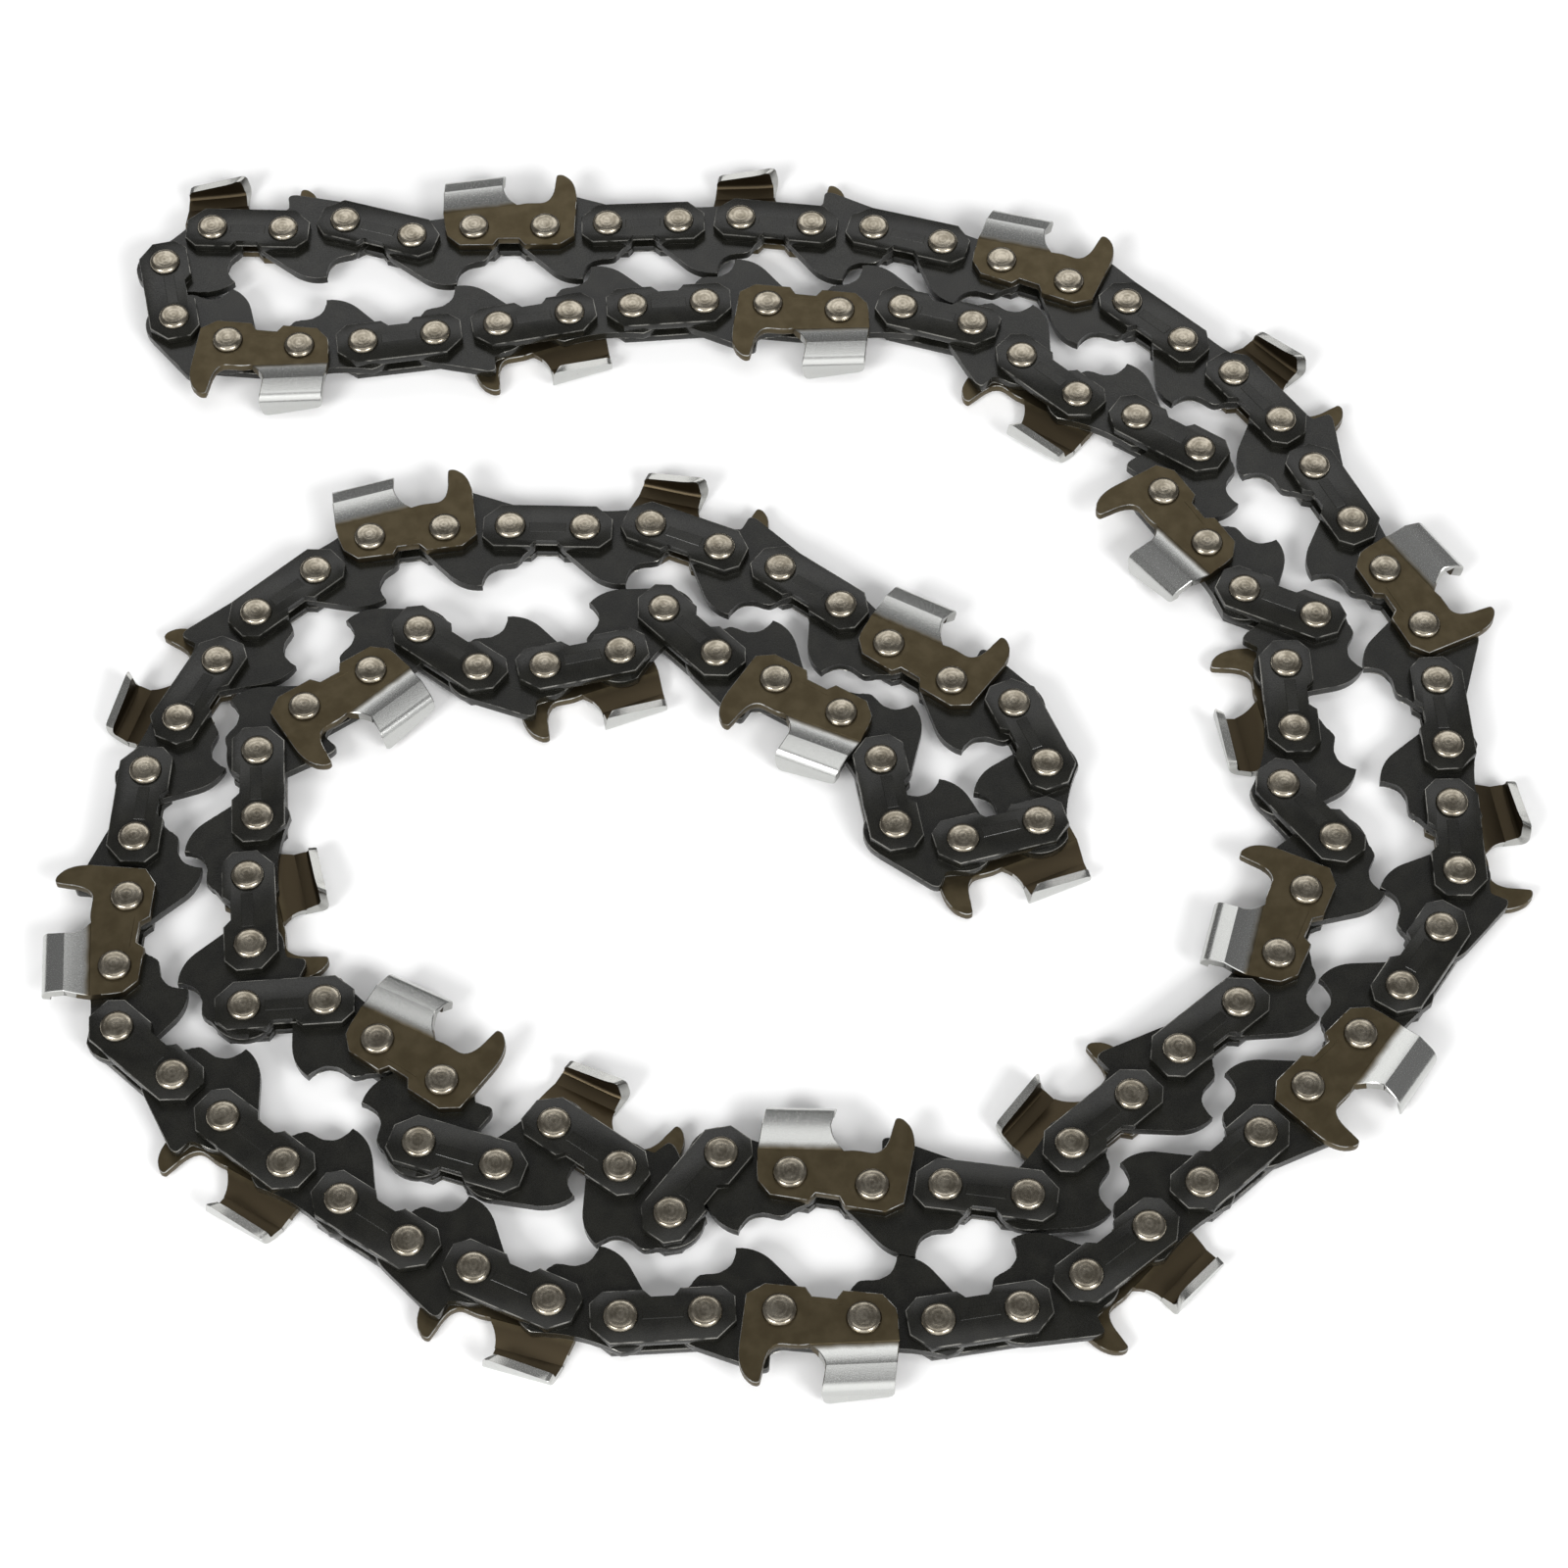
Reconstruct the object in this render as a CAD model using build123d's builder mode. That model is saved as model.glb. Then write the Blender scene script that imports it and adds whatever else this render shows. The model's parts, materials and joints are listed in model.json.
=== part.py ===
from build123d import *

import math
import os

# A saw chain loop lying on its side: the rivets stand upright, the tangs of the drive links point
# into the loop and the cutters point out of it. Every link is drawn with its rear rivet at the
# origin, its front rivet on +X, its cutter side on +Y and the middle of the chain at z = 0.

# Pitches between rivets
strap_pitch = 10.15
drive_pitch = 8.90

# Plate thicknesses and rivets
drive_thickness = 1.3
side_thickness = 1.2
running_gap = 0.05
rivet_diameter = 4.4
rivet_sides = 7
head_height = 0.65
pivot_clearance = 0.05

# Tie strap: a plate with cut corners
strap_end = 3.7
strap_crown = 3.6
strap_foot = 3.3
crown_cut = 2.3
foot_cut = 1.6

# Drive link: two round lobes and a hooked tang
lobe_radius = 4.2
rear_lobe_angles = (110, 169, 228)
front_lobe_angles = (-38, 20, 75)
crown_dip = 0.9
tang_lead = 5.1
tang_depth = 8.9
tang_heel = 4.3
tang_heel_rise = 1.6
hook_rise = 1.9
hook_reach = 0.5
belly_depth = 5.4
belly_start = 1.8
belly_end = 0.7

# Bumper: the ramp of a drive link that runs in front of a cutter
bumper_height = 7.3
bumper_peak = 1.9
bumper_back = 1.3
bumper_notch = 4.6

# Cutter side plate and depth gauge
cutter_heel = 1.9
cutter_front = 4.2
gullet_height = 4.4
gullet_run = 2.4
gauge_height = 9.6
gauge_back = 1.1
gauge_front = 4.4
gauge_waist = 3.4
gauge_lean = 1.4
gauge_droop = 0.95
gauge_round = 0.65

# Cutter top: a side wall that bows outwards and folds into the sloping top plate
top_height = 10.1
top_front = 4.4
top_length = 8.9
top_fall = 1.3
top_thickness = 1.1
top_reach = 4.6
top_taper = 1.6
bow_proud = 0.85
bow_start = 4.0
bow_full = 6.8
fold_size = 1.2
filed_overlap = 1.7
filing_angle = 8
undercut_angle = 8

# Heading of every link in whole degrees from +X, read from the photo along the loop, rivet by rivet
link_headings = [
    -3, 9, -18, 9, -1, 2, 1, 2, -8, -6, -17, -23, -24, -26, -44, -42,
    -55, -64, -65, -66, -65, -85, -88, -93, -91, -111, -125, -131, -135, -136, -139, -140,
    -142, -153, -172, 177, 173, -180, -178, 165, 154, 155, 145, 145, 140, 138, 137, 96,
    85, 88, 86, 65, 63, 58, 41, 37, 7, 1, -3, 2, -24, -24, -38, -46,
    -37, -25, -68, -100, -166, 165, 99, 124, 147, 151, 133, -131, -168, 180, 142, -134,
    -147, -131, -87, -95, -85, -92, 3, -40, -36, -107, -19, 38, -37, -46, 52, -19,
    -11, -1, -9, 50, 40, 45, 39, 51, 65, 60, 126, 76, 91, 59, 154, 120,
    121, 52, 145, 153, 136, 138, 162, -178, 172, 176, -177, -174, -170, -171, -173, -177,
    173, 151, 101, 44,
]
rivet_count = len(link_headings)
settle_sweeps = 2000

# Drive links that swing on their own rivets, as pairs on the outer and the inner strand. The two
# of a pair lie exactly antiparallel, so that the loop stays closed when they swing together.
swing_pairs = ((3, 125), (15, 117), (29, 101), (57, 77))
swing_links = [outer for outer, inner in swing_pairs]
swing_links += [inner for outer, inner in reversed(swing_pairs)]
swing_names = [f"outer_swing_link_{number}" for number in (1, 2, 3, 4)]
swing_names += [f"inner_swing_link_{number}" for number in (4, 3, 2, 1)]
run_names = ["start_run", "outer_run_1", "outer_run_2", "outer_run_3"]
run_names += ["end_run", "inner_run_3", "inner_run_2", "inner_run_1"]

# Cutters sit on every second strap place and change sides, except that the one at this place
# repeats the side of the one before it
cutter_step = 4
repeated_cutter = 11

# Heights from the middle of the chain
side_inner = drive_thickness / 2 + running_gap
side_outer = side_inner + side_thickness
side_middle = (side_inner + side_outer) / 2
bow_outer = side_outer + bow_proud
rivet_length = 2 * (side_outer + head_height)


def is_strap(index):
    """Whether the link that starts at this rivet is a strap or a cutter and not a drive link."""
    return index % 2 == 0


def has_bumper(index):
    """Whether the drive link that starts at this rivet runs in front of a cutter."""
    return index % cutter_step == 1


def has_cutter(index):
    """Whether a cutter sits on the strap place that starts at this rivet."""
    return index % cutter_step == 0


def cutter_side(index):
    """+1 for a right-hand cutter on the upper side of the lying chain, -1 for a left-hand one."""
    number = index // cutter_step
    flips = number if number < repeated_cutter else number - 1
    return 1 if flips % 2 == 1 else -1


def link_pitch(index):
    """Distance between the two rivets of the link that starts at this rivet."""
    return strap_pitch if is_strap(index) else drive_pitch


def polar(radius, angle):
    """A point on a circle round the origin."""
    return (radius * math.cos(math.radians(angle)), radius * math.sin(math.radians(angle)))


def lay_chain():
    """Rivet centres of the closed loop as complex numbers, with exact pitches and swing pairs."""
    points = [0j]
    for index, heading in enumerate(link_headings[:-1]):
        points.append(points[-1] + complex(*polar(link_pitch(index), heading)))
    for sweep in range(settle_sweeps):
        for index in range(rivet_count):
            ahead = (index + 1) % rivet_count
            gap = points[ahead] - points[index]
            correction = gap * (1 - link_pitch(index) / abs(gap)) / 2
            points[index] += correction
            points[ahead] -= correction
        for outer, inner in swing_pairs:
            error = points[outer + 1] - points[outer] + points[inner + 1] - points[inner]
            for index in (outer, inner):
                points[index] += error / 4
                points[index + 1] -= error / 4
    return points


def tie_strap_outline():
    """The outline of a tie strap."""
    rear = -strap_end
    front = strap_pitch + strap_end
    return [
        (rear + foot_cut, -strap_foot),
        (front - foot_cut, -strap_foot),
        (front, foot_cut - strap_foot),
        (front, strap_crown - crown_cut),
        (front - crown_cut, strap_crown),
        (rear + crown_cut, strap_crown),
        (rear, strap_crown - crown_cut),
        (rear, foot_cut - strap_foot),
    ]


def drive_link_outline(bumper):
    """The outline of a drive link, with a bumper ramp or a shallow dip on its cutter side."""
    rear_lobe = [polar(lobe_radius, angle) for angle in rear_lobe_angles]
    front_lobe = [polar(lobe_radius, angle) for angle in front_lobe_angles]
    tang = [
        (tang_lead - tang_heel, tang_heel_rise - tang_depth),
        (tang_lead, -tang_depth),
        (tang_lead + hook_reach, hook_rise - tang_depth),
        (tang_lead + belly_start, -belly_depth),
        (drive_pitch + belly_end, -belly_depth),
    ]
    ramp = [(bumper_peak, bumper_height), (bumper_back, bumper_notch)]
    dip = [(drive_pitch / 2, lobe_radius - crown_dip)]
    front_lobe = [(drive_pitch + x, y) for x, y in front_lobe]
    return rear_lobe + tang + front_lobe + (ramp if bumper else dip)


def seam_height(x):
    """Height of the line along which the cutter's side wall starts to bow."""
    return bow_start - top_fall * (top_front - x) / top_length


def cutter_outline():
    """The outline of a cutter's flat side plate, with the gullet and the depth gauge."""
    gauge_rear = strap_pitch + gauge_back
    gauge_nose = strap_pitch + gauge_front
    seam_front = top_front - filed_overlap
    seam_rear = top_front - top_length
    return [
        (-cutter_heel, -strap_foot),
        (strap_pitch + strap_end - foot_cut, -strap_foot),
        (strap_pitch + cutter_front, foot_cut - strap_foot),
        (gauge_nose, gauge_waist),
        (gauge_nose - gauge_lean, gauge_height - gauge_droop),
        (gauge_rear + gauge_round, gauge_height),
        (gauge_rear, gauge_height - gauge_round),
        (gauge_rear - gullet_run, gullet_height),
        (top_front, gullet_height),
        (seam_front, seam_height(seam_front)),
        (seam_rear, seam_height(seam_rear)),
        (-strap_end, foot_cut - strap_foot),
    ]


def cutter_section():
    """Bowed side wall and folded top plate in (y, z), at the front end of the top plate."""
    bow_inner = bow_outer - side_thickness
    under_top = top_height - top_thickness
    end = bow_outer - top_reach
    return [
        (bow_start, side_inner),
        (bow_start, side_outer),
        (bow_full, bow_outer),
        (top_height - fold_size, bow_outer),
        (top_height, bow_outer - fold_size),
        (top_height, end),
        (under_top, end),
        (under_top, bow_inner),
        (bow_full, bow_inner),
    ]


# Drive links, plain and with a bumper, each also with the two bores of a swinging one. Rivets and
# bores are polygons, so that so many pieces keep few facets.
drive_links = {}
for bumper in (False, True):
    for bored in (False, True):
        with BuildPart() as drive_link:
            with BuildSketch():
                with BuildLine():
                    Polyline(*drive_link_outline(bumper), close=True)
                make_face()
            extrude(amount=drive_thickness / 2, both=True)
            if bored:
                bore_radius = rivet_diameter / 2 + pivot_clearance
                with BuildSketch():
                    with Locations((0, 0), (drive_pitch, 0)):
                        RegularPolygon(bore_radius, rivet_sides, major_radius=False)
                extrude(amount=drive_thickness / 2, both=True, mode=Mode.SUBTRACT)
        drive_links[bumper, bored] = drive_link.part

# Tie strap
with BuildPart() as tie_strap:
    with BuildSketch():
        with BuildLine():
            Polyline(*tie_strap_outline(), close=True)
        make_face()
    extrude(amount=side_thickness / 2, both=True)

# Right-hand cutter: the folded top runs back and down from its filed, undercut front and narrows to its
# rear, then the side plate joins it
with BuildPart() as right_cutter:
    with BuildSketch(Plane.YZ.offset(top_front)):
        with BuildLine():
            Polyline(*cutter_section(), close=True)
        make_face()
    extrude(amount=math.hypot(top_length, top_fall), dir=(-top_length, -top_fall, 0))
    undercut = math.tan(math.radians(undercut_angle))
    filed = math.tan(math.radians(filing_angle))
    filed_face = Plane(origin=(top_front, top_height, bow_outer), z_dir=(1, -undercut, -filed))
    split(bisect_by=filed_face, keep=Keep.BOTTOM)
    free_edge = Plane(origin=(top_front, 0, bow_outer - top_reach), z_dir=(top_taper / top_length, 0, 1))
    split(bisect_by=free_edge, keep=Keep.TOP)
    with BuildSketch(Plane.XY.offset(side_inner)):
        with BuildLine():
            Polyline(*cutter_outline(), close=True)
        make_face()
    extrude(amount=side_thickness)

# Left-hand cutter: the right-hand one mirrored in the middle of the chain
with BuildPart() as left_cutter:
    mirror(right_cutter.part, about=Plane.XY)

# Rivet
with BuildPart() as rivet:
    with BuildSketch():
        RegularPolygon(rivet_diameter / 2, rivet_sides)
    extrude(amount=rivet_length / 2, both=True)

# The loop is moved until the box round all its links is centred on the origin
rivets = lay_chain()
headings = [rivets[(index + 1) % rivet_count] - rivets[index] for index in range(rivet_count)]
corners = []
for index in range(rivet_count):
    if has_cutter(index):
        outline = cutter_outline()
        outline += [(top_front, top_height), (top_front - top_length, top_height - top_fall)]
    elif is_strap(index):
        outline = tie_strap_outline()
    else:
        outline = drive_link_outline(has_bumper(index))
    turn = headings[index] / abs(headings[index])
    corners += [rivets[index] + turn * complex(x, y) for x, y in outline]
x_middle = (min(c.real for c in corners) + max(c.real for c in corners)) / 2
y_middle = (min(c.imag for c in corners) + max(c.imag for c in corners)) / 2
rivets = [centre - complex(x_middle, y_middle) for centre in rivets]


def place(index, height=0.0):
    """Where the link that starts at this rivet goes, raised from the middle of the chain."""
    angle = math.degrees(math.atan2(headings[index].imag, headings[index].real))
    return Location((rivets[index].real, rivets[index].imag, bow_outer + height), (0, 0, angle))


os.makedirs("parts", exist_ok=True)


def write_group(name, piece, places):
    """Writes copies of a piece as one node of separate solids, unless it has no place."""
    if not places:
        return
    with BuildPart() as group:
        with Locations(*places):
            add(piece)
    group.part.label = name
    export_step(group.part, f"parts/{name}.step")


for name, index in zip(swing_names, swing_links):
    write_group(name, drive_links[has_bumper(index), True], [place(index)])

for name, behind, ahead in zip(run_names, swing_links[-1:] + swing_links, swing_links):
    first = behind + 1
    link_total = (ahead - first) % rivet_count
    members = [index % rivet_count for index in range(first, first + link_total + 1)]
    straps = []
    cutters = {1: [], -1: []}
    drives = {False: [], True: []}
    for index in members[:-1]:
        if not is_strap(index):
            drives[has_bumper(index)].append(place(index))
            continue
        for side in (1, -1):
            if has_cutter(index) and side == cutter_side(index):
                cutters[side].append(place(index))
            else:
                straps.append(place(index, side * side_middle))
    write_group(f"{name}_drive_links", drive_links[False, False], drives[False])
    write_group(f"{name}_bumper_links", drive_links[True, False], drives[True])
    write_group(f"{name}_tie_straps", tie_strap.part, straps)
    write_group(f"{name}_right_cutters", right_cutter.part, cutters[1])
    write_group(f"{name}_left_cutters", left_cutter.part, cutters[-1])
    write_group(f"{name}_rivets", rivet.part, [place(index) for index in members])
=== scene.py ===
"""Dresses the saw chain loop: every plate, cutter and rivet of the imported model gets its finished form."""

import json
import logging
import math
from dataclasses import dataclass, field
from enum import Enum

import bmesh
import bpy
from mathutils import Matrix, Vector

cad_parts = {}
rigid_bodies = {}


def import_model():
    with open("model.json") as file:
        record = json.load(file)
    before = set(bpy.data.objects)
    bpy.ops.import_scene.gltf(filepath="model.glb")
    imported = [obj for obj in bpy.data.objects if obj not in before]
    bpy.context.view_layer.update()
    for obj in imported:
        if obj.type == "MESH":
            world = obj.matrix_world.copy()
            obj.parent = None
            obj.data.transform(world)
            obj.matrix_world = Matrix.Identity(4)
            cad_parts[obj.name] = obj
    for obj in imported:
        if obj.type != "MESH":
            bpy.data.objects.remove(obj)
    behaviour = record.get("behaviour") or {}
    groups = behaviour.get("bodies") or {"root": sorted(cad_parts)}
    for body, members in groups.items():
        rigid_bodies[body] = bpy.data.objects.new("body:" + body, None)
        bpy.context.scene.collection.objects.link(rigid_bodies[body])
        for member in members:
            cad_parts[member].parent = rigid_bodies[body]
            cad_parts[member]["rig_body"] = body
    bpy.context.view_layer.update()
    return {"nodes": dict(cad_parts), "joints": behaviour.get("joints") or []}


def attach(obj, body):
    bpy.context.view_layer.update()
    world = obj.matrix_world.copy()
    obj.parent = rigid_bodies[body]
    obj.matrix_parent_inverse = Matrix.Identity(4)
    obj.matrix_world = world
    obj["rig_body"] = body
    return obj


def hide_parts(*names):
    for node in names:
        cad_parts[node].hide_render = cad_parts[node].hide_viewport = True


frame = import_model()

log = logging.getLogger("saw_chain")

MM = 0.001
SAME_PLACE = 1e-6
SPAN_INPUTS = ("From Min", "From Max", "To Min", "To Max")
MIX_COLOURS = (6, 7)
MIX_RESULT = 2
ZONE_REACH = 0.4
PIECE_SPREAD = (97, 61, 43)

Point = tuple[float, float]
Position = tuple[float, float, float]
Colour = tuple[float, float, float]
Shape = bmesh.types.BMesh
Vertex = bmesh.types.BMVert
Face = bmesh.types.BMFace
Socket = bpy.types.NodeSocket
Node = bpy.types.Node
Material = bpy.types.Material
Collection = bpy.types.Collection
Piece = bpy.types.Object
Grid = list[list[Vertex]]
Inputs = dict[str | int, object]


class Zone(Enum):
    """What a face of a link is, as the finishes read it from the face attribute."""

    BODY = 0.0
    PLATED = 1.0
    GROUND = 2.0
    WORN = 3.0
    INNER = 4.0


class LinkKind(Enum):
    """The kinds of pieces, each with the ending of its nodes' names."""

    PLAIN_DRIVE = "drive_links"
    BUMPER_DRIVE = "bumper_links"
    TIE_STRAP = "tie_straps"
    RIGHT_CUTTER = "right_cutters"
    LEFT_CUTTER = "left_cutters"
    RIVET = "rivets"


@dataclass(frozen=True)
class ChainSizes:
    """Sizes in millimetres that all links share, with heights from the middle of the chain."""

    strap_pitch: float = 10.15
    drive_pitch: float = 8.90
    drive_thickness: float = 1.3
    side_thickness: float = 1.2
    running_gap: float = 0.05
    bow_proud: float = 0.85
    head_height: float = 0.65
    bore_radius: float = 2.25
    bore_corners: int = 24
    bore_reach: float = 1.0
    bore_bevel: float = 0.01
    cutter_step: int = 4
    repeated_cutter: int = 11
    first_swing_index: int = 3

    @property
    def side_inner(self) -> float:
        """Height of a side plate's inner face."""
        return self.drive_thickness / 2 + self.running_gap

    @property
    def side_outer(self) -> float:
        """Height of a side plate's outer face."""
        return self.side_inner + self.side_thickness

    @property
    def bow_outer(self) -> float:
        """Height of a cutter's bowed wall, which is also the chain's middle above the floor."""
        return self.side_outer + self.bow_proud

    @property
    def head_top(self) -> float:
        """Height of the top of a rivet's head."""
        return self.side_outer + self.head_height

    def pitch(self, index: int) -> float:
        """Distance between the rivets of the link that starts at this rivet."""
        return self.strap_pitch if index % 2 == 0 else self.drive_pitch

    def cutter_side(self, index: int) -> int:
        """+1 for a cutter on the upper side of the lying chain, -1 for one on the lower side."""
        number = index // self.cutter_step
        flips = number if number < self.repeated_cutter else number - 1
        return 1 if flips % 2 == 1 else -1


SIZES = ChainSizes()


def arc(centre: Point, radius: float, start: float, end: float, steps: int) -> list[Point]:
    """Points on a round stretch between two angles in degrees from +X, both ends included."""
    angles = [math.radians(start + (end - start) * step / steps) for step in range(steps + 1)]
    return [(centre[0] + radius * math.cos(a), centre[1] + radius * math.sin(a)) for a in angles]


def bend(start: Point, pull: Point, end: Point, steps: int) -> list[Point]:
    """Points on a curved stretch whose end tangents both aim at the pull point, both ends included."""
    weights = [((1 - t) ** 2, 2 * t * (1 - t), t * t) for t in (step / steps for step in range(steps + 1))]
    return [tuple(a * s + b * p + c * e for s, p, e in zip(start, pull, end)) for a, b, c in weights]


def without_doubles(points: list[Point], nearest: float = 0.02) -> list[Point]:
    """Leaves out points that lie on the one before them.

    Args:
        points: A closed outline.
        nearest: Least distance that is kept.

    Returns:
        The outline with each point once.
    """
    kept: list[Point] = []
    for point in points:
        if not kept or math.dist(point, kept[-1]) > nearest:
            kept.append(point)
    if math.dist(kept[0], kept[-1]) <= nearest:
        kept.pop()
    return kept


def zone_layer(shape: Shape) -> bmesh.types.BMLayerItem:
    """The face layer that holds each face's zone."""
    layers = shape.faces.layers.float
    return layers.get("zone") or layers.new("zone")


def band(shape: Shape, lower: list[Vertex], upper: list[Vertex], start: int = 0) -> list[Face]:
    """Joins two closed rings by a band of faces.

    Args:
        shape: The shape that holds the rings.
        lower: The ring that the faces run along.
        upper: The ring that they run back along.
        start: Number of the corner that a face begins with, which decides how it is split.

    Returns:
        The faces, one for each place of the rings.
    """
    faces = []
    for place, after in enumerate([*range(1, len(lower)), 0]):
        corners = [lower[place], lower[after], upper[after], upper[place]]
        faces.append(shape.faces.new(corners[start:] + corners[:start]))
    return faces


def break_edges(shape: Shape, edges: list[bmesh.types.BMEdge], width: float, limit: bool = True) -> None:
    """Breaks sharp edges and puts the new faces into the worn zone.

    Args:
        shape: The shape.
        edges: Its edges to break.
        width: Width of the broken edge.
        limit: Whether short edges limit the width.
    """
    zones = zone_layer(shape)
    made = bmesh.ops.bevel(
        shape, geom=edges, offset=width, segments=2, profile=0.5, affect="EDGES", clamp_overlap=limit
    )
    for face in made["faces"]:
        face[zones] = Zone.WORN.value


def plate(outline: list[Point], low: float, high: float, bevel: float) -> Shape:
    """A flat plate with broken edges.

    Args:
        outline: Closed outline, counter-clockwise from above.
        low: Height of its lower face.
        high: Height of its upper face.
        bevel: Width of the broken edge.

    Returns:
        The plate, whose broken edges are in the worn zone.
    """
    shape = bmesh.new()
    zone_layer(shape)
    rings = [[shape.verts.new((x, y, z)) for x, y in outline] for z in (low, high)]
    shape.faces.new(list(reversed(rings[0])))
    shape.faces.new(rings[1])
    band(shape, *rings)
    break_edges(shape, [e for e in shape.edges if e.verts[0].co.z == e.verts[1].co.z], bevel)
    return shape


def show(thing: Piece) -> None:
    """Puts an object into the scene."""
    bpy.context.scene.collection.objects.link(thing)


def make_plain(piece: Piece) -> None:
    """Turns an object of the scene and its modifiers into a plain mesh."""
    evaluated = piece.evaluated_get(bpy.context.evaluated_depsgraph_get())
    piece.data = bpy.data.meshes.new_from_object(evaluated)
    piece.modifiers.clear()


@dataclass
class TieStrap:
    """A side plate with cut corners, a notch between its feet and a low rib between its rivets."""

    end: float = 3.72
    crown: float = 3.55
    foot: float = 3.35
    crown_cut: Point = (2.35, 2.2)
    foot_cut: Point = (1.6, 1.5)
    notch_mouth: Point = (2.85, 7.35)
    notch_floor: Point = (3.55, 6.45)
    notch_depth: float = 1.15
    bevel: float = 0.13
    rib_reach: Point = (2.55, 7.6)
    rib_width: Point = (-1.0, 0.62)
    rib_height: float = 0.045
    rib_slope: float = 0.11

    def notch(self) -> list[Point]:
        """The notch between the feet, from the rear to the front."""
        rear, front = self.notch_mouth
        floor = self.notch_depth - self.foot
        return [(rear, -self.foot), *[(x, floor) for x in self.notch_floor], (front, -self.foot)]

    def outline(self) -> list[Point]:
        """The strap's outline, counter-clockwise from the rear foot."""
        rear, front = -self.end, SIZES.strap_pitch + self.end
        return [
            (rear + self.foot_cut[0], -self.foot),
            *self.notch(),
            (front - self.foot_cut[0], -self.foot),
            (front, self.foot_cut[1] - self.foot),
            (front, self.crown - self.crown_cut[1]),
            (front - self.crown_cut[0], self.crown),
            (rear + self.crown_cut[0], self.crown),
            (rear, self.crown - self.crown_cut[1]),
            (rear, self.foot_cut[1] - self.foot),
        ]

    def add_rib(self, shape: Shape, side: int, spans: tuple[Point, Point] | None = None) -> None:
        """Sets a low rib on the outer face.

        Args:
            shape: The plate.
            side: +1 where the outer face looks up, -1 where it looks down.
            spans: Where the rib lies along and across the link, if not where a strap has it.
        """
        along, across = spans or (self.rib_reach, self.rib_width)
        third = (across[1] - across[0]) / 3
        slope = min(self.rib_slope, third)
        face = side * SIZES.side_outer
        levels = ((face - side * self.rib_height, 0.0), (face + side * self.rib_height, slope))
        rings = []
        for height, inset in levels:
            x0, x1 = along[0] + inset, along[1] - inset
            y0, y1 = across[0] + inset, across[1] - inset
            corners = ((x0, y0), (x1, y0), (x1, y1), (x0, y1))
            rings.append([shape.verts.new((x, y, height)) for x, y in corners])
        ends = [shape.faces.new(rings[1]), shape.faces.new(list(reversed(rings[0])))]
        bmesh.ops.recalc_face_normals(shape, faces=[*ends, *band(shape, *rings)])

    def build(self, side: int) -> Shape:
        """Makes the strap of one side.

        Args:
            side: +1 for the upper side of the lying chain, -1 for the lower one.

        Returns:
            The strap with its rear rivet at the origin.
        """
        low, high = sorted((side * SIZES.side_inner, side * SIZES.side_outer))
        shape = plate(self.outline(), low, high, self.bevel)
        self.add_rib(shape, side)
        return shape


@dataclass
class DriveLink:
    """The middle plate: two round lobes, a hooked tang and either a shallow dip or a bumper ramp."""

    lobe: float = 4.2
    rear_lobe: Point = (105.0, 232.0)
    front_lobe: Point = (-50.0, 74.0)
    tang_back: Point = (0.75, -7.05)
    tang_pull: Point = (2.5, -8.9)
    tang_tip: Point = (5.15, -8.9)
    hook_pull: Point = (4.95, -5.75)
    hook_floor: Point = (7.9, -5.5)
    belly_pull: Point = (8.9, -5.5)
    belly_end: Point = (9.5, -5.42)
    rise_pull: Point = (10.05, -5.2)
    belly_rise: Point = (10.25, -4.55)
    lobe_pull: Point = (10.6, -4.0)
    dip_pull: float = 2.6
    bumper_peak: Point = (1.95, 7.3)
    bumper_round: float = 0.7
    bumper_pull: Point = (1.42, 7.3)
    bumper_foot: Point = (1.32, 4.75)
    notch_pull: Point = (1.12, 4.2)
    bevel: float = 0.1

    def tang(self) -> list[Point]:
        """The tang from its straight back over its tip and hook to the belly."""
        front_start = arc((SIZES.drive_pitch, 0), self.lobe, *self.front_lobe, 1)[0]
        return [
            *bend(self.tang_back, self.tang_pull, self.tang_tip, 7),
            *bend(self.tang_tip, self.hook_pull, self.hook_floor, 8),
            *bend(self.hook_floor, self.belly_pull, self.belly_end, 2),
            *bend(self.belly_end, self.rise_pull, self.belly_rise, 3),
            *bend(self.belly_rise, self.lobe_pull, front_start, 3),
        ]

    def bumper(self, front_end: Point) -> list[Point]:
        """The ramp in front of a cutter, from the front lobe over its peak to the rear lobe."""
        peak, foot = self.bumper_peak, self.bumper_foot
        slope = math.atan2(peak[1] - front_end[1], peak[0] - front_end[0])
        start = (peak[0] - self.bumper_round * math.cos(slope), peak[1] - self.bumper_round * math.sin(slope))
        side = (foot[0], peak[1] - self.bumper_round)
        rear_start = arc((0, 0), self.lobe, *self.rear_lobe, 1)[0]
        return [*bend(start, self.bumper_pull, side, 4), *bend(foot, self.notch_pull, rear_start, 4)]

    def outline(self, bumper: bool) -> list[Point]:
        """The link's outline.

        Args:
            bumper: Whether it carries the ramp.

        Returns:
            The outline, counter-clockwise from the top of the rear lobe.
        """
        rear = arc((0, 0), self.lobe, *self.rear_lobe, 12)
        front = arc((SIZES.drive_pitch, 0), self.lobe, *self.front_lobe, 12)
        dip = bend(front[-1], (SIZES.drive_pitch / 2, self.dip_pull), rear[0], 8)
        top = self.bumper(front[-1]) if bumper else dip
        return without_doubles([*rear, *self.tang(), *front, *top])

    def build(self, bumper: bool) -> Shape:
        """Makes the link with its rear rivet at the origin, still without its bores."""
        half = SIZES.drive_thickness / 2
        return plate(self.outline(bumper), -half, half, self.bevel)


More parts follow.
